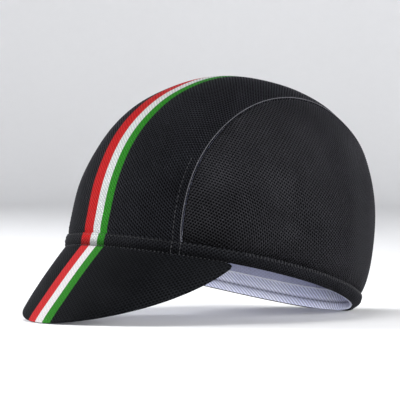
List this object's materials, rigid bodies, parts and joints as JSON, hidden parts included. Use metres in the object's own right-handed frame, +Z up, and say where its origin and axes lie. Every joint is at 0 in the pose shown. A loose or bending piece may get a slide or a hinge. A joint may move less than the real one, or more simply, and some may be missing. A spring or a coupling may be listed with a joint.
{
  "type": "cycling cap",
  "caption": "Soft cycling cap with a three-panel crown, an outer headband, an inner sweatband and a short stiffened peak turned down.",
  "frame": {"origin": "centre of the part's bounding box, on the surface that it lies on", "axes": "+Z up, -Y to the front where the peak points, +X to the wearer's left; the cap is tipped back about 13.5 degrees, on its peak's lip and the back of its rim"},
  "size_m": [0.1612, 0.2416, 0.1423],
  "materials": {
    "crown_cloth": "fine dimpled polyester mesh, black outside with a red, white and green stripe, pale inside",
    "headband_cloth": "the crown's black mesh, folded into a hem",
    "sweatband_cloth": "pale lavender-white ribbed tape",
    "peak_cloth": "smooth black polyester over a stiff board, with the stripe carried on to the lip"
  },
  "bodies": {
    "root": {"crown_centre_panel": "crown_cloth", "crown_side_panel_left": "crown_cloth", "crown_side_panel_right": "crown_cloth", "headband": "headband_cloth", "sweatband": "sweatband_cloth", "peak": "peak_cloth"}
  },
  "joints": []
}
